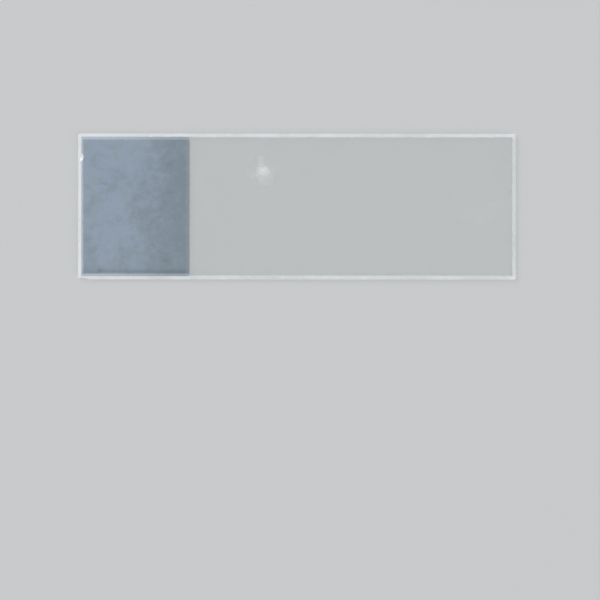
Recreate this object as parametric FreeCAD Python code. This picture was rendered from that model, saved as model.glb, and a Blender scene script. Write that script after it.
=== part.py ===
import FreeCAD, Part
import os

# Microscope slide: one piece of soda-lime sheet glass, cut to size, ground on its
# edges and frosted over one end of its upper face.
#
# Millimetres. The origin is the middle of the underside. +X runs along the slide,
# away from the frosted end, +Y runs across it, and +Z is up through the glass.

# Cut sheet
slide_length = 76.2
slide_width = 25.4
slide_thickness = 1.1

# Edge work
arris_width = 0.6  # across the face, along the upper and lower rims
edge_flat = 0.4  # height of the upright flat left between the two arrises
corner_radius = 0.35  # upright corners, dubbed so that they do not snag

# Frosted marking area: ground a little below the upper face, right out to the rims
frost_length = 19.4  # from the frosted end
frost_depth = 0.02

# Shell chip out of the upper face and its arris at the frosted end
chip_from_corner = 4.1  # along the end, from the +Y corner to the middle of the chip
chip_inset = 0.1  # from the end to the middle of the chip
chip_radius = 0.9  # of the round hollow, at the upper face
chip_depth = 0.22  # at the middle of the hollow

# Spall out of the long edge where it meets the frosted end, at the -Y corner
spall_length = 1.9  # along the long edge
spall_depth = 0.28  # into the long edge, at the corner

# Cutting bodies run this far past the glass
overcut = 1.0

X = FreeCAD.Vector(1, 0, 0)
Y = FreeCAD.Vector(0, 1, 0)
Z = FreeCAD.Vector(0, 0, 1)

frosted_end = -slide_length / 2
long_edge = slide_width / 2


def edge_ground_bar(along, run, across, span):
    """Bar of the sheet's thickness with an arris ground along all four rims."""
    half = span / 2
    flat_bottom = (slide_thickness - edge_flat) / 2
    flat_top = flat_bottom + edge_flat
    section = [
        (-half + arris_width, 0),
        (half - arris_width, 0),
        (half, flat_bottom),
        (half, flat_top),
        (half - arris_width, slide_thickness),
        (-half + arris_width, slide_thickness),
        (-half, flat_top),
        (-half, flat_bottom),
    ]
    start = along * (-run / 2)
    rim = [start + across * offset + Z * height for offset, height in section]
    return Part.Face(Part.makePolygon(rim + rim[:1])).extrude(along * run)


def dubbed_sheet():
    """The cut sheet with its four upright corners rounded."""
    corner = FreeCAD.Vector(frosted_end, -long_edge, 0)
    sheet = Part.makeBox(slide_length, slide_width, slide_thickness, corner)
    uprights = [edge for edge in sheet.Edges if edge.BoundBox.ZLength > slide_thickness / 2]
    return sheet.makeFillet(corner_radius, uprights)


def ground_blank():
    """Dubbed sheet ground along its long edges and across its ends, so the arrises mitre."""
    lengthways = edge_ground_bar(X, slide_length, Y, slide_width)
    crossways = edge_ground_bar(Y, slide_width, X, slide_length)
    return dubbed_sheet().common(lengthways).common(crossways)


def frosting_cut():
    """Thin layer that the frosting takes off the upper face of one end."""
    corner = FreeCAD.Vector(
        frosted_end - overcut, -long_edge - overcut, slide_thickness - frost_depth
    )
    length = frost_length + overcut
    width = slide_width + 2 * overcut
    return Part.makeBox(length, width, frost_depth + overcut, corner)


def radius_through(half_chord, depth):
    """Radius of a circle that is `depth` deep below a chord of twice `half_chord`."""
    return (half_chord**2 + depth**2) / (2 * depth)


def chip_ball():
    """Ball whose surface is the shell-shaped scar of the chip in the end's upper rim."""
    radius = radius_through(chip_radius, chip_depth)
    centre = FreeCAD.Vector(
        frosted_end + chip_inset,
        long_edge - chip_from_corner,
        slide_thickness - chip_depth + radius,
    )
    return Part.makeSphere(radius, centre, Y)


def spall_ball():
    """Ball whose surface is the shallow scar that runs out at the -Y corner."""
    radius = radius_through(spall_length, spall_depth)
    centre = FreeCAD.Vector(
        frosted_end, -long_edge + spall_depth - radius, slide_thickness
    )
    return Part.makeSphere(radius, centre, X)


def glass_slide():
    """The finished slide as one solid."""
    slide = ground_blank()
    for cut in (frosting_cut(), chip_ball(), spall_ball()):
        slide = slide.cut(cut)
    return slide.removeSplitter().Solids[0]


os.makedirs("parts", exist_ok=True)
slide = glass_slide()
slide.exportStep("parts/glass_slide.step")
box = slide.optimalBoundingBox()
print(f"glass_slide {box.XLength:.3f} x {box.YLength:.3f} x {box.ZLength:.3f} mm")
print(f"volume {slide.Volume:.2f} mm3, {len(slide.Faces)} faces, valid {slide.isValid()}")
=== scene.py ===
"""A frosted glass microscope slide, finished around its CAD frame.

The file is laid out as an add-on. Property groups hold the sizes, the finishes and the
studio's settings, one operator cuts and finishes the slide, another sets up the studio,
and a sidebar panel lists them all. Run as a script, it calls the operators in order.
"""

import math

import bmesh
import bpy
from bpy.props import FloatProperty, FloatVectorProperty, PointerProperty
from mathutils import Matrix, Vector, noise


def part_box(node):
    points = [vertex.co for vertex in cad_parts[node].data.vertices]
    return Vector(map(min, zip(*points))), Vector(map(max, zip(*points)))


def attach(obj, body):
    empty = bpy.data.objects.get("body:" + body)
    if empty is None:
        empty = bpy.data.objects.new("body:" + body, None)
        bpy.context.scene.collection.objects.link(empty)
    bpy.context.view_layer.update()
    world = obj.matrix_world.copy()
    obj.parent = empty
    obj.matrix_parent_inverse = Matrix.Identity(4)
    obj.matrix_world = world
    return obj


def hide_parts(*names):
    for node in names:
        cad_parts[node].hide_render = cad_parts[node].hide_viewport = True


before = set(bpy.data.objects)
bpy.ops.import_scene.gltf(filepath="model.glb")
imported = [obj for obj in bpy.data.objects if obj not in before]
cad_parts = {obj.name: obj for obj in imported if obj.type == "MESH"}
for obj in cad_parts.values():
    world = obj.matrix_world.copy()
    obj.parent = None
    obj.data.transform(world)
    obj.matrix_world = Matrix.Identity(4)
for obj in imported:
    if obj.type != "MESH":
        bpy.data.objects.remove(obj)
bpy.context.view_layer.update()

bl_info = {
    "name": "Frosted Glass Slide",
    "version": (1, 0, 0),
    "blender": (4, 5, 0),
    "location": "3D View > Sidebar > Glass Slide",
    "description": "Cuts, grinds and frosts a glass microscope slide, and lights it",
    "category": "Add Mesh",
}

NODE = "glass_slide"
BODY = "root"
MM = 0.001
GLASS_IOR = 1.52

# Material slots of the slide
POLISHED, GROUND, FROSTED, BROKEN = range(4)

# Directions
ALONG, ACROSS, UP = Vector((1, 0, 0)), Vector((0, 1, 0)), Vector((0, 0, 1))


def mm(*lengths):
    """A vector of lengths that are given in millimetres."""
    return Vector(lengths) * MM


# Settings


def length(name, description, millimetres):
    """A length in metres whose default is given in millimetres."""
    return FloatProperty(
        name=name,
        description=description,
        default=millimetres * MM,
        subtype="DISTANCE",
        unit="LENGTH",
        precision=5,
    )


def colour(name, description, linear):
    """A colour, given as linear red, green and blue."""
    return FloatVectorProperty(
        name=name, description=description, default=linear, size=3, min=0, max=1, subtype="COLOR"
    )


def glow(name, description, strength):
    """The strength of a glowing surface or sky."""
    return FloatProperty(name=name, description=description, default=strength, min=0)


def power(name, description, watts):
    """The power of a lamp."""
    return FloatProperty(name=name, description=description, default=watts, min=0, unit="POWER")


class SlideSizes(bpy.types.PropertyGroup):
    """Sizes of the edge work, the frosting and the damage"""

    arris_width: length("Arris width", "Across the face, along the upper and lower rims", 0.6)
    edge_flat: length("Edge flat", "Height of the flat left between the two arrises", 0.4)
    corner_radius: length("Corner radius", "Rounding of the upright corners", 0.35)
    rim_waver: length("Rim waver", "How far the ground lines wander", 0.035)
    frost_length: length("Frost length", "From the frosted end", 19.4)
    frost_depth: length("Frost depth", "Glass that the frosting takes off", 0.02)
    frost_waver: length("Frost waver", "How far the frosting's edge wanders", 0.06)
    chip_from_corner: length("Chip place", "Along the end, from the +Y corner", 4.1)
    chip_inset: length("Chip inset", "From the end to the middle of the chip", 0.1)
    chip_radius: length("Chip radius", "Of the round hollow, at the upper face", 0.9)
    chip_depth: length("Chip depth", "At the middle of the hollow", 0.22)
    spall_length: length("Spall length", "Along the long edge", 1.9)
    spall_depth: length("Spall depth", "Into the long edge, at the corner", 0.28)
    ripple_height: length("Ripple height", "Height of the ripples in a break", 0.008)
    ripple_pitch: length("Ripple pitch", "Distance between the ripples in a break", 0.17)


class GlassFinishes(bpy.types.PropertyGroup):
    """Colours of the glass and its finishes"""

    polished: colour("Polished", "Tint of the clear faces", (0.985, 0.995, 0.99))
    smear: colour("Smear", "Finger grease on the clear face", (0.95, 0.96, 0.97))
    frost_blue: colour("Frost, blue", "Frosting where it is dense", (0.328, 0.396, 0.5))
    # frost_grey is also the painted shade of the frosting, towards the clear part and the -Y edge
    frost_grey: colour("Frost, grey", "Frosting where it is thin", (0.228, 0.284, 0.332))
    frost_green: colour("Frost, green", "Frosting that shows the glass", (0.303, 0.375, 0.42))
    frost_border: colour("Frost, border", "Where the frosting was masked off", (0.42, 0.44, 0.45))
    # Painted light: the glow that the ground edges scatter into the frosting
    frost_rim_glow: colour("Frost, margin", "Whiter line along the rims", (0.6, 0.645, 0.71))
    # Also the colour of the painted shadow line inside the -Y rim
    frost_fleck_and_shadow: colour("Frost, fleck", "Specks that the grit missed", (0.15, 0.19, 0.22))
    ground: colour("Ground", "Matt ground arrises and edges", (0.94, 0.965, 0.975))
    # Also the painted shade of the arrises over the clear part
    ground_worn_and_shaded: colour("Ground, worn", "Ground glass where it is smoother", (0.76, 0.8, 0.815))
    broken: colour("Broken", "Crests of the scars", (0.99, 1.0, 1.0))
    # Painted shade: the scar colour darkened by 0.86
    broken_shaded: colour("Broken, low", "Troughs of the scars", (0.851, 0.86, 0.86))


class StudioSettings(bpy.types.PropertyGroup):
    """The floor, the lamps and the camera"""

    floor: colour("Floor", "Colour of the plain floor", (0.27, 0.274, 0.28))
    floor_dim: colour("Floor, dim", "Floor where it is a trace darker", (0.262, 0.266, 0.272))
    floor_light: colour("Floor light", "Colour of the floor's own glow", (0.97, 0.99, 1.0))
    floor_glow: glow("Floor glow", "Light that comes up through the floor", 0.35)
    sky: colour("Sky", "Colour of the light from all round", (0.96, 0.98, 1.0))
    fill: glow("Fill", "Light from all round", 0.48)
    horizon: glow("Horizon", "Light that the horizon adds to the fill", 0.04)
    key: power("Key", "Power of the soft lamp beyond the frosted end", 13.0)
    kick: power("Kick", "Power of the soft lamp across from the key", 7.5)
    top: power("Top", "Power of the overhead lamp", 0.35)
    view_width: length("View width", "Width seen at the slide's upper face", 104.36)
    aim_along: length("Aim along", "From the slide's middle to the view's middle", 0.534)
    aim_across: length("Aim across", "From the slide's middle to the view's middle", -16.26)
    camera_height: length("Camera height", "From the floor to the camera", 500)
    camera_roll: FloatProperty(
        name="Camera roll",
        description="Turn of the view about its axis",
        default=math.radians(0.05),
        subtype="ANGLE",
        unit="ROTATION",
    )


# Shader nodes


class Wire:
    """A node's output. Arithmetic on one that holds a number adds the Math nodes for it."""

    def __init__(self, nodes, socket):
        self.nodes = nodes
        self.socket = socket

    def maths(self, operation, *inputs):
        return self.nodes.add("ShaderNodeMath", {"operation": operation}, dict(enumerate(inputs)))

    def __add__(self, other):
        return self.maths("ADD", self, other)

    def __sub__(self, other):
        return self.maths("SUBTRACT", self, other)

    def __rsub__(self, other):
        return self.maths("SUBTRACT", other, self)

    def __mul__(self, other):
        return self.maths("MULTIPLY", self, other)

    __radd__ = __add__
    __rmul__ = __mul__

    def lesser(self, other):
        """The smaller of the two."""
        return self.maths("MINIMUM", self, other)

    def clamped(self):
        """Held between 0 and 1."""
        return self.maths("MAXIMUM", self, 0).lesser(1)


class Nodes:
    """The shader nodes of one material, lamp or world."""

    def __init__(self, owner):
        self.owner = owner
        self.owner.use_nodes = True
        self.tree = owner.node_tree
        self.tree.nodes.clear()
        self.place = self.add("ShaderNodeTexCoord", output="Object")

    def add(self, kind, settings=None, inputs=None, output=0):
        """Adds a node, its settings first and then its sockets, and returns one output."""
        node = self.tree.nodes.new(kind)
        for name, value in (settings or {}).items():
            setattr(node, name, value)
        for name, value in (inputs or {}).items():
            if isinstance(value, Wire):
                self.tree.links.new(value.socket, node.inputs[name])
            else:
                node.inputs[name].default_value = value
        return Wire(self, node.outputs[output])

    def along(self, axis, place=None):
        """The X, Y or Z part of the place, or of another vector."""
        return self.add("ShaderNodeSeparateXYZ", inputs={"Vector": place or self.place}, output=axis)

    def vector(self, operation, first, second, socket=1):
        """Vector Math on two vectors, or with socket="Scale" on a vector and a number."""
        return self.add("ShaderNodeVectorMath", {"operation": operation}, {0: first, socket: second})

    def noise(self, pitch, detail=2.0, roughness=0.5, place=None, output=0):
        """Noise from 0 to 1 whose blotches are about pitch apart."""
        inputs = {
            "Vector": place or self.place,
            "Scale": 1 / pitch,
            "Detail": detail,
            "Roughness": roughness,
        }
        return self.add("ShaderNodeTexNoise", inputs=inputs, output=output)

    def moved(self, by):
        """The place, moved so far that a noise on it has other blotches."""
        return self.vector("ADD", self.place, by)

    def ragged(self, pitch, reach):
        """The place, pushed about by noise so that an outline drawn on it is ragged."""
        push = self.vector("SUBTRACT", self.noise(pitch, output="Color"), (0.5, 0.5, 0.5))
        return self.vector("ADD", self.place, self.vector("SCALE", push, reach, "Scale"))

    def step(self, value, low, high):
        """0 up to low, 1 from high, and smooth between them."""
        return self.add(
            "ShaderNodeMapRange",
            {"interpolation_type": "SMOOTHSTEP"},
            {"Value": value, "From Min": low, "From Max": high},
        )

    def spot(self, centre, half_size, turn=0.0, place=None):
        """1 in the middle of an oval, as seen from above, falling to 0 at its outline."""
        inputs = {
            "Vector": place or self.place,
            "Location": (*centre, 0),
            "Rotation": (0, 0, turn),
            "Scale": (*half_size, 1),
        }
        oval = self.add("ShaderNodeMapping", {"vector_type": "TEXTURE"}, inputs)
        fall = self.add("ShaderNodeTexGradient", {"gradient_type": "SPHERICAL"}, {"Vector": oval})
        return self.step(fall, 0, 1)

    def blend(self, share, first, second):
        """A colour that goes from the first to the second as share goes from 0 to 1."""
        # The Mix node keeps its colours behind the sockets for numbers and vectors
        first_in, second_in, result = 6, 7, 2
        inputs = {
            0: share,
            first_in: first if isinstance(first, Wire) else opaque(first),
            second_in: second if isinstance(second, Wire) else opaque(second),
        }
        return self.add("ShaderNodeMix", {"data_type": "RGBA"}, inputs, result)

    def bump(self, height, distance, strength):
        """A normal roughened by a height from 0 to 1."""
        inputs = {"Height": height, "Distance": distance, "Strength": strength}
        return self.add("ShaderNodeBump", inputs=inputs)

    def surface(self, **sockets):
        """A Principled shader. A socket's name has _ in place of each space."""
        inputs = {name.replace("_", " "): value for name, value in sockets.items()}
        return self.add("ShaderNodeBsdfPrincipled", inputs=inputs)

    def finish(self, shader, kind="Material"):
        """Sends the shader to the output and returns the material, lamp or world."""
        output = self.tree.nodes.new("ShaderNodeOutput" + kind)
        self.tree.links.new(shader.socket, output.inputs["Surface"])
        return self.owner


def opaque(rgb):
    """A colour with full alpha."""
    return (*rgb, 1.0)


# Finishes of the glass

# Dabs of the finger smear: place along and across from its middle and half size, in
# millimetres, and strength
SMEARS = (
    (0.0, 0.0, 1.9, 0.4),
    (-0.1, -0.8, 3.6, 0.24),
    (-0.6, 1.9, 1.6, 0.2),
)


def polished_glass(finishes, sizes, low, high):
    """Clear faces. The upper one has scuffed rims, a finger smear, a trace of haze and a streak."""
    nodes = Nodes(bpy.data.materials.new("polished_glass"))
    wisp = nodes.noise(1.1 * MM, detail=4, roughness=0.6)
    ragged = nodes.ragged(pitch=1.6 * MM, reach=2.2 * MM)

    smear = 0.0
    smear_middle = Vector((low.x + sizes.frost_length, 0)) + mm(13.0, 6.4)
    for x, y, half_size, strength in SMEARS:
        dab = nodes.spot(smear_middle + mm(x, y), mm(half_size, half_size), place=ragged)
        smear = smear + dab * dab * strength
    smear = smear * (0.5 + wisp)

    clear_end = Vector((high.x, 0))
    haze = nodes.spot(clear_end + mm(-6.1, -0.8), mm(7, 4), place=ragged) * (0.3 + wisp) * 0.06
    streak = nodes.spot(clear_end + mm(-2.7, 0.5), mm(2.4, 0.16), turn=0.05) * 0.25

    # The clear part has a rim on three sides, and the frosting on the fourth
    along, across = nodes.along("X"), nodes.along("Y")
    from_edge = (high.x - along).lesser(high.y - across).lesser(across - low.y)
    from_rim = from_edge - sizes.arris_width + (wisp - 0.5) * 0.2 * MM
    scuff = 1 - nodes.step(from_rim, 0, 0.22 * MM)

    upper = nodes.step(nodes.along("Z"), low.z, high.z)
    dirt = ((smear + haze + streak + scuff * 0.5) * upper).clamped()
    glass = nodes.surface(
        Base_Color=opaque(finishes.polished),
        Roughness=0.0,
        IOR=GLASS_IOR,
        Transmission_Weight=1.0,
    )
    grease = nodes.surface(Base_Color=opaque(finishes.smear), Roughness=0.55, IOR=GLASS_IOR)
    return nodes.finish(nodes.add("ShaderNodeMixShader", inputs={0: dirt, 1: glass, 2: grease}))


# Flecks in the frosting: place along from the frosted end and across from the middle, half
# length and half width, in millimetres, turn in radians and strength
FLECKS = (
    (12.5, 6.6, 0.91, 0.46, 0.1, 0.21),
    (9.9, 1.3, 1.3, 0.59, -0.6, 0.29),
    (14.0, -1.8, 0.78, 0.39, 0.0, 0.38),
    (4.4, 3.9, 1.3, 0.33, 0.0, 0.25),
    (6.9, -2.4, 0.78, 0.33, -0.3, 0.21),
    (13.1, -6.8, 1.04, 0.29, -0.5, 0.38),
    (9.9, -7.1, 0.91, 0.33, 0.1, 0.25),
    (7.5, -7.4, 0.78, 0.52, 0.0, 0.21),
    (16.1, 2.5, 1.04, 0.78, 0.3, 0.29),
    (15.9, 7.1, 1.04, 1.17, 0.2, 0.25),
    (15.4, -9.4, 1.3, 0.65, 0.0, 0.29),
    (3.8, -11.1, 0.65, 0.65, 0.0, 0.38),
)


def frosted_glass(finishes, sizes, low, high):
    """The marking area: fine grit marks, cloudy patches and a few missed specks, with painted shade
    away from the key lamp, a painted glow inside the rims and a painted shadow line inside the -Y rim.
    """
    nodes = Nodes(bpy.data.materials.new("frosted_glass"))
    grain = nodes.noise(0.11 * MM)
    mottle = nodes.noise(1.2 * MM, detail=3, roughness=0.6)
    patches = nodes.noise(3.4 * MM, detail=3, roughness=0.6)
    along, across = nodes.along("X"), nodes.along("Y")
    inner = low.x + sizes.frost_length

    # Painted shade: the frosting is painted greyer towards the clear part and towards the -Y edge,
    # away from the key lamp, on top of its random patches
    drift = along + (patches - 0.5) * 6 * MM
    thin_and_shaded = nodes.step(drift, inner - 12 * MM, inner - 1 * MM) * 0.8 + 0.17
    thin_and_shaded = thin_and_shaded - nodes.step(across, 0, high.y) * 0.26
    thin_and_shaded = thin_and_shaded + (0.5 - patches) * 1.8 + (0.5 - mottle) * 1.1 + (0.5 - grain) * 0.8
    tones = nodes.noise(2.3 * MM, detail=3, roughness=0.6, place=nodes.moved((9, 4, 2)))
    cast = nodes.step(tones, 0.42, 0.66)

    # Painted light inside the three rims: a whiter painted glow, as of light that the ground edges
    # scatter into the frosting. Inside the -Y rim, a painted shadow line.
    # Towards the clear part the glow fades and the shadow line grows darker
    fade = nodes.step(along, low.x, inner)
    stray = (mottle - 0.5) * 0.3 * MM
    from_end = along - low.x - sizes.arris_width + stray
    from_far_rim = high.y - across - sizes.arris_width + stray
    from_near_rim = across - low.y - sizes.arris_width + stray
    clear_of_rims = (
        nodes.step(from_end, 0.1 * MM, 0.45 * MM)
        * nodes.step(from_far_rim, 0.25 * MM, 0.65 * MM)
        * nodes.step(from_near_rim, 0.25 * MM, 0.6 * MM)
    )
    border = nodes.step(along + stray, inner - 0.9 * MM, inner - 0.2 * MM)

    # A painted shadow line inside the -Y rim, darker towards the clear part, and then the missed
    # specks
    flecks_and_shadow_line = (1 - nodes.step(from_near_rim, 0.7 * MM, 1.5 * MM)) * (0.3 + fade * 0.25)
    ragged = nodes.ragged(pitch=0.5 * MM, reach=0.7 * MM)
    for x, y, half_length, half_width, turn, strength in FLECKS:
        centre = Vector((low.x, 0)) + mm(x, y)
        flecks_and_shadow_line = flecks_and_shadow_line + nodes.spot(centre, mm(half_length, half_width), turn, ragged) * strength
    flecks_and_shadow_line = flecks_and_shadow_line * (0.5 + mottle)

    colours = nodes.blend(cast * 0.7, finishes.frost_blue, finishes.frost_green)
    colours = nodes.blend(thin_and_shaded.clamped(), colours, finishes.frost_grey)
    colours = nodes.blend(flecks_and_shadow_line.clamped(), colours, finishes.frost_fleck_and_shadow)
    colours = nodes.blend(border * 0.25, colours, finishes.frost_border)
    # Painted glow along the rims, fading towards the clear part
    rim_glow = (1 - clear_of_rims) * (0.8 - fade * 0.37)
    colours = nodes.blend(rim_glow, colours, finishes.frost_rim_glow)
    return nodes.finish(
        nodes.surface(
            Base_Color=colours,
            Roughness=(0.6 + grain * 0.25).clamped(),
            IOR=GLASS_IOR,
            Transmission_Weight=0.1,
            Normal=nodes.bump(grain, distance=0.02 * MM, strength=0.6),
        )
    )


def ground_glass(finishes, sizes, low, high):
    """Arrises and edge flats: matt and randomly worn, with painted shade that darkens them from the
    frosted end towards the clear part, and painted highlights at the clear end's corners.
    """
    nodes = Nodes(bpy.data.materials.new("ground_glass"))
    grain = nodes.noise(0.09 * MM)
    knots = nodes.noise(0.8 * MM)
    runs = nodes.noise(5 * MM, detail=3)
    along = nodes.along("X")
    inner = low.x + sizes.frost_length

    # Painted shade: darker from the frosted end towards the clear part, with a step at the frosting's
    # edge; then random wear
    worn_and_shaded = nodes.step(along, low.x, inner) * 0.3
    worn_and_shaded = worn_and_shaded + nodes.step(along, inner - 0.3 * MM, inner + 0.3 * MM) * 0.25
    worn_and_shaded = worn_and_shaded + (0.5 - runs) * 1.4 + (0.5 - knots) * 0.8 + (0.5 - grain) * 0.5
    # Painted highlights at the clear end's two corners
    for edge in (low.y, high.y):
        corner = Vector((high.x - 0.5 * MM, edge))
        worn_and_shaded = worn_and_shaded - nodes.spot(corner, mm(1.2, 1.2)) * 0.8
    return nodes.finish(
        nodes.surface(
            Base_Color=nodes.blend(worn_and_shaded.clamped(), finishes.ground, finishes.ground_worn_and_shaded),
            Roughness=(0.5 + grain * 0.35).clamped(),
            IOR=GLASS_IOR,
            Transmission_Weight=0.1,
            Normal=nodes.bump(grain, distance=0.015 * MM, strength=0.7),
        )
    )


def broken_glass(finishes):
    """Scars of the chip and the spall: bright, crisp and slightly hackled, with painted shade in the
    hackle's troughs.
    """
    nodes = Nodes(bpy.data.materials.new("broken_glass"))
    hackle = nodes.noise(0.18 * MM, detail=3)
    return nodes.finish(
        nodes.surface(
            # Painted shade in the troughs of the hackle
            Base_Color=nodes.blend(hackle, finishes.broken_shaded, finishes.broken),
            Roughness=(0.12 + hackle * 0.3).clamped(),
            IOR=GLASS_IOR,
            Transmission_Weight=0.1,
            Coat_Weight=1.0,
            Coat_Roughness=0.2,
            Normal=nodes.bump(hackle, distance=0.02 * MM, strength=0.5),
        )
    )


# The slide


def whole(bm):
    """Everything in a bmesh, as a cut takes it."""
    return bm.verts[:] + bm.edges[:] + bm.faces[:]


def fill_holes(bm):
    """Closes every opening that a cut has left with one flat face."""
    bmesh.ops.holes_fill(bm, edges=[edge for edge in bm.edges if edge.is_boundary], sides=0)


def cut_by_plane(bm, geometry, point, normal, clear_outer=False):
    """Divides the geometry along a plane, or clears what lies beyond it."""
    bmesh.ops.bisect_plane(
        bm,
        geom=geometry,
        dist=1e-8,
        plane_co=point,
        plane_no=normal,
        clear_outer=clear_outer,
    )


def cut_sheet(bm, low, high):
    """The plain sheet, as cut."""
    bmesh.ops.create_cube(bm, size=1)
    bmesh.ops.scale(bm, vec=high - low, verts=bm.verts)
    bmesh.ops.translate(bm, vec=(low + high) / 2, verts=bm.verts)


def height_of(edge):
    """Difference in height between the two ends of an edge."""
    return abs(edge.verts[0].co.z - edge.verts[1].co.z)


def dub_corners(bm, radius):
    """Rounds the four upright corners."""
    uprights = [edge for edge in bm.edges if height_of(edge) > radius]
    bmesh.ops.bevel(
        bm,
        geom=uprights,
        offset=radius,
        offset_type="OFFSET",
        segments=10,
        profile=0.5,
        affect="EDGES",
        material=-1,
    )


def grind_arrises(bm, low, high, sizes):
    """Grinds the slope along every upper and lower rim."""
    centre, half = (low + high) / 2, (high - low) / 2
    drop = (high.z - low.z - sizes.edge_flat) / 2
    for rise in (UP, -UP):
        for out, reach in ((ALONG, half.x), (-ALONG, half.x), (ACROSS, half.y), (-ACROSS, half.y)):
            ground_line = centre + out * (reach - sizes.arris_width) + rise * half.z
            slope = (out * drop + rise * sizes.arris_width).normalized()
            cut_by_plane(bm, whole(bm), ground_line, slope, clear_outer=True)
            fill_holes(bm)
    bm.normal_update()


def is_flat(face):
    """True for the upper and the lower face."""
    return abs(face.normal.z) > 0.99


def is_arris(face):
    """True for the slopes between a flat face and an edge."""
    return 0.1 < abs(face.normal.z) < 0.99


def divide_arrises(bm, low, high, pitch, mitre):
    """Divides the arrises crosswise about every pitch, all but their mitred ends."""
    for axis, direction in enumerate((ALONG, ACROSS)):
        start, end = low[axis] + mitre, high[axis] - mitre
        count = round((end - start) / pitch)
        for station in range(count + 1):
            rims = [face for face in bm.faces if is_arris(face) and abs(face.normal[axis]) < 0.01]
            geometry = set(rims)
            for rim in rims:
                geometry.update(rim.edges, rim.verts)
            place = direction * (start + (end - start) * station / count)
            cut_by_plane(bm, list(geometry), place, direction)
            bm.normal_update()


def wander(place, pitch, evenness):
    """A number round 0 that drifts from place to place. A higher evenness has less fine detail."""
    octaves, finer_by = 4, 2.0
    return noise.fractal(place / pitch, evenness, finer_by, octaves)


def waver_arrises(bm, waver):
    """Lets the ground lines wander: sideways on the faces, up and down on the edge flats."""
    nick_pitch, nick_level, nick_depth = 0.9 * MM, 0.42, 6 * waver
    elsewhere = Vector((7, 3, 1))
    moves = []
    for vert in bm.verts:
        slopes = [face.normal for face in vert.link_faces if is_arris(face)]
        if len(slopes) != 2 or slopes[0].dot(slopes[1]) < 0.999:
            continue
        drift = wander(vert.co, pitch=1.1 * MM, evenness=0.7)
        if any(is_flat(face) for face in vert.link_faces):
            out = Vector((slopes[0].x, slopes[0].y, 0)).normalized()
            nick = max(0.0, noise.noise(vert.co / nick_pitch + elsewhere) - nick_level)
            moves.append((vert, out * (drift * waver - nick * nick_depth)))
        else:
            moves.append((vert, UP * (drift * waver / 2)))
    for vert, move in moves:
        vert.co += move


def mesh_object(name, bm, materials):
    """Makes an object of a bmesh, and frees the bmesh."""
    mesh = bpy.data.meshes.new(name)
    bm.normal_update()
    bm.to_mesh(mesh)
    bm.free()
    for material in materials:
        mesh.materials.append(material)
    made = bpy.data.objects.new(name, mesh)
    bpy.context.scene.collection.objects.link(made)
    return made


def carve(piece, cutter):
    """Cuts the cutter out of the piece, and removes the cutter."""
    cut = piece.modifiers.new("cut", "BOOLEAN")
    cut.operation = "DIFFERENCE"
    cut.solver = "EXACT"
    cut.material_mode = "TRANSFER"
    cut.object = cutter
    graph = bpy.context.evaluated_depsgraph_get()
    mesh = bpy.data.meshes.new_from_object(piece.evaluated_get(graph), depsgraph=graph)
    if not mesh.polygons:
        raise RuntimeError(f"{cutter.name} leaves nothing of {piece.name}")
    piece.modifiers.clear()
    uncut = piece.data
    piece.data = mesh
    bpy.data.meshes.remove(uncut)
    mesh.name = piece.name
    bpy.data.objects.remove(cutter)


def frosting_cutter(low, high, sizes, material):
    """The layer that the frosting takes off, with a slightly wandering inner edge."""
    past = 1 * MM
    corner = Vector((low.x - past, low.y - past, high.z - sizes.frost_depth))
    size = Vector((sizes.frost_length + past, high.y - low.y + 2 * past, sizes.frost_depth + past))
    inner = corner.x + size.x
    bm = bmesh.new()
    cut_sheet(bm, corner, corner + size)
    inner_lines = [
        edge for edge in bm.edges
        if all(vert.co.x > inner - past for vert in edge.verts) and height_of(edge) < past
    ]
    bmesh.ops.subdivide_edges(bm, edges=inner_lines, cuts=220, use_grid_fill=True)
    for vert in bm.verts:
        if vert.co.x > inner - past:
            drift = wander(ACROSS * vert.co.y, pitch=0.7 * MM, evenness=0.5)
            vert.co.x += sizes.frost_waver * drift
    return mesh_object("frosting_cutter", bm, [material])


def scar_cutter(name, half_width, depth, struck, bottom, outwards, fineness, sizes, material):
    """Cap of a ball whose skin is rippled round the point where the blow fell."""
    radius = (half_width**2 + depth**2) / (2 * depth)
    centre = bottom + outwards * radius
    past, hackle_pitch = 0.5 * MM, 0.3 * MM
    bm = bmesh.new()
    bmesh.ops.create_icosphere(bm, subdivisions=fineness, radius=radius)
    bmesh.ops.translate(bm, vec=centre, verts=bm.verts)
    cut_by_plane(bm, whole(bm), struck + outwards * past, outwards, clear_outer=True)
    for vert in bm.verts:
        if vert.is_boundary:
            continue
        ripple = math.sin(2 * math.pi * (vert.co - struck).length / sizes.ripple_pitch)
        hackle = noise.noise(vert.co / hackle_pitch)
        out = (vert.co - centre).normalized()
        vert.co += out * sizes.ripple_height * (0.6 * ripple + hackle)
    for face in bm.faces:
        face.smooth = True
    fill_holes(bm)
    return mesh_object(name, bm, [material])


def shade(piece, crease):
    """Smooths the faces, and keeps each edge sharper than the crease angle."""
    bm = bmesh.new()
    bm.from_mesh(piece.data)
    bmesh.ops.remove_doubles(bm, verts=bm.verts, dist=1e-7)
    bm.normal_update()
    for face in bm.faces:
        face.smooth = True
    for edge in bm.edges:
        edge.smooth = edge.calc_face_angle(math.pi) < crease
    bm.to_mesh(piece.data)
    bm.free()


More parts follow.
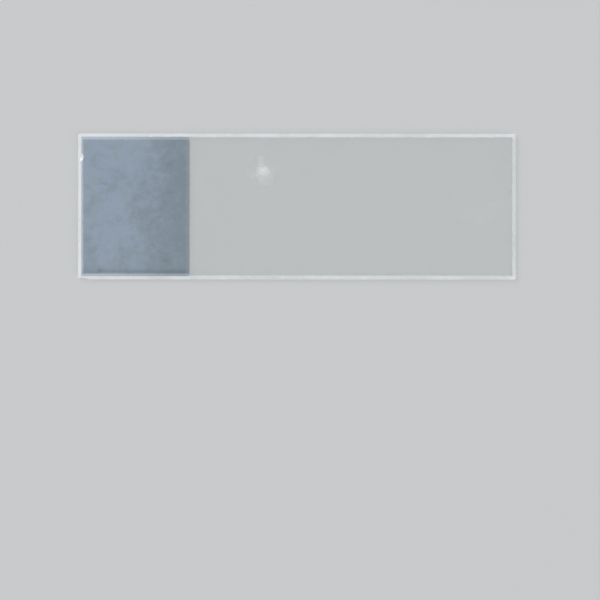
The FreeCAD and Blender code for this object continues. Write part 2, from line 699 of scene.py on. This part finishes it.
class SLIDE_OT_glass(bpy.types.Operator):
    """Cuts the sheet, grinds its edges, frosts one end and breaks out the chip and the spall"""

    bl_idname = "slide.glass"
    bl_label = "Make Glass Slide"

    def execute(self, context):
        sizes, finishes = context.scene.slide_sizes, context.scene.glass_finishes
        low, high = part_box(NODE)
        materials = [
            polished_glass(finishes, sizes, low, high),
            ground_glass(finishes, sizes, low, high),
            frosted_glass(finishes, sizes, low, high),
            broken_glass(finishes),
        ]
        piece = self.grind(sizes, low, high, materials)
        carve(piece, frosting_cutter(low, high, sizes, materials[FROSTED]))
        carve(piece, self.chip(sizes, low, high, materials[BROKEN]))
        carve(piece, self.spall(sizes, low, high, materials[BROKEN]))
        shade(piece, crease=math.radians(24))
        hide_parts(NODE)
        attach(piece, BODY)
        return {"FINISHED"}

    def grind(self, sizes, low, high, materials):
        """The whole slide with its ground edges, before it is frosted."""
        bm = bmesh.new()
        cut_sheet(bm, low, high)
        dub_corners(bm, sizes.corner_radius)
        grind_arrises(bm, low, high, sizes)
        divide_arrises(bm, low, high, pitch=0.5 * MM, mitre=1.2 * MM)
        waver_arrises(bm, sizes.rim_waver)
        for face in bm.faces:
            face.material_index = POLISHED if is_flat(face) else GROUND
        return mesh_object("frosted_slide", bm, materials)

    def chip(self, sizes, low, high, material):
        """Cutter of the hollow in the upper rim of the frosted end."""
        struck = Vector((low.x, high.y - sizes.chip_from_corner, high.z))
        bottom = struck + ALONG * sizes.chip_inset - UP * sizes.chip_depth
        return scar_cutter(
            "chip_cutter",
            half_width=sizes.chip_radius,
            depth=sizes.chip_depth,
            struck=struck,
            bottom=bottom,
            outwards=UP,
            fineness=6,
            sizes=sizes,
            material=material,
        )

    def spall(self, sizes, low, high, material):
        """Cutter of the scar that runs out at the frosted end's -Y corner."""
        struck = Vector((low.x, low.y, high.z))
        bottom = struck + ACROSS * sizes.spall_depth
        return scar_cutter(
            "spall_cutter",
            half_width=sizes.spall_length,
            depth=sizes.spall_depth,
            struck=struck,
            bottom=bottom,
            outwards=-ACROSS,
            fineness=7,
            sizes=sizes,
            material=material,
        )


# The studio

# Soft lamps: place, width and height, in metres, and how far in from the panel's edges its
# glow is full, where 0 is an edge and 1 the middle
LAMPS = {
    "key": ((-0.75, 0.65, 0.96), (1.2, 1.0), 0.8),
    "kick": ((0.72, -0.72, 0.74), (1.6, 1.0), 0.8),
    "top": ((0.0, 0.0, 0.9), (0.5, 0.5), 0.1),
}


def softbox(name, place, aim, size, watts, fade):
    """A rectangular lamp that faces the slide and grows dimmer towards its edges."""
    lamp = bpy.data.lights.new(name, "AREA")
    lamp.shape = "RECTANGLE"
    lamp.size, lamp.size_y = size
    lamp.energy = watts
    nodes = Nodes(lamp)
    panel = nodes.add("ShaderNodeNewGeometry", output="Parametric")
    across, up = nodes.along("X", panel), nodes.along("Y", panel)
    # 0 along the panel's edges and 1 in its middle
    inward = across * (1 - across) * up * (1 - up) * 16
    inputs = {"Strength": nodes.step(inward, 0, fade)}
    nodes.finish(nodes.add("ShaderNodeEmission", inputs=inputs), "Light")
    holder = bpy.data.objects.new(name, lamp)
    holder.location = place
    holder.rotation_euler = (aim - Vector(place)).to_track_quat("-Z", "Y").to_euler()
    bpy.context.scene.collection.objects.link(holder)


class SLIDE_OT_studio(bpy.types.Operator):
    """Lays the floor and places the lamps and the camera"""

    bl_idname = "slide.studio"
    bl_label = "Set Up Studio"

    def execute(self, context):
        scene, studio = context.scene, context.scene.slide_studio
        low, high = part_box(NODE)
        centre = (low + high) / 2
        self.lay_floor(studio, low)
        self.light_sky(scene, studio)
        for name, (place, size, fade) in LAMPS.items():
            softbox(name + "_lamp", place, centre, size, getattr(studio, name), fade)
        self.aim_camera(scene, studio, centre, high)
        return {"FINISHED"}

    def lay_floor(self, studio, low):
        """A wide floor, a hair below the slide so that the two faces don't coincide."""
        half_size, gap = 6.0, 0.02 * MM
        bm = bmesh.new()
        bmesh.ops.create_grid(bm, x_segments=1, y_segments=1, size=half_size)
        bmesh.ops.translate(bm, vec=UP * (low.z - gap), verts=bm.verts)
        nodes = Nodes(bpy.data.materials.new("studio_floor"))
        material = nodes.finish(
            nodes.surface(
                Base_Color=nodes.blend(nodes.noise(60 * MM, detail=3), studio.floor_dim, studio.floor),
                Roughness=0.95,
                Emission_Color=opaque(studio.floor_light),
                Emission_Strength=studio.floor_glow,
            )
        )
        mesh_object("studio_floor", bm, [material])

    def light_sky(self, scene, studio):
        """Even light from all round, with a trace more from the horizon."""
        nodes = Nodes(bpy.data.worlds.new("studio"))
        height = nodes.along("Z", nodes.add("ShaderNodeTexCoord", output="Generated"))
        light = (1 - nodes.step(height, 0, 0.35)) * studio.horizon + studio.fill
        inputs = {"Color": opaque(studio.sky), "Strength": light}
        scene.world = nodes.finish(nodes.add("ShaderNodeBackground", inputs=inputs), "World")

    def aim_camera(self, scene, studio, centre, high):
        """A camera that looks straight down, with the slide in the upper half of its view."""
        data = bpy.data.cameras.new("camera")
        data.sensor_width = 36
        data.lens = data.sensor_width * (studio.camera_height - high.z) / studio.view_width
        data.clip_start = 0.01
        camera = bpy.data.objects.new("camera", data)
        camera.location = centre + Vector((studio.aim_along, studio.aim_across, 0))
        camera.location.z = studio.camera_height
        camera.rotation_euler = (0, 0, studio.camera_roll)
        scene.collection.objects.link(camera)
        scene.camera = camera
        scene.view_settings.view_transform = "Standard"


class SLIDE_PT_panel(bpy.types.Panel):
    """Lists the settings and what the add-on makes"""

    bl_label = "Glass Slide"
    bl_idname = "SLIDE_PT_panel"
    bl_space_type = "VIEW_3D"
    bl_region_type = "UI"
    bl_category = "Glass Slide"

    def draw(self, context):
        for name, group in SETTINGS.items():
            box = self.layout.box()
            box.label(text=name.replace("_", " ").capitalize())
            for setting in group.__annotations__:
                box.prop(getattr(context.scene, name), setting)
        self.layout.operator(SLIDE_OT_glass.bl_idname)
        self.layout.operator(SLIDE_OT_studio.bl_idname)


SETTINGS = {
    "slide_sizes": SlideSizes,
    "glass_finishes": GlassFinishes,
    "slide_studio": StudioSettings,
}
CLASSES = (*SETTINGS.values(), SLIDE_OT_glass, SLIDE_OT_studio, SLIDE_PT_panel)


def register():
    for cls in CLASSES:
        bpy.utils.register_class(cls)
    for name, group in SETTINGS.items():
        setattr(bpy.types.Scene, name, PointerProperty(type=group))


def unregister():
    for name in SETTINGS:
        delattr(bpy.types.Scene, name)
    for cls in reversed(CLASSES):
        bpy.utils.unregister_class(cls)


def main():
    register()
    bpy.ops.slide.glass()
    bpy.ops.slide.studio()


if __name__ == "__main__":
    main()
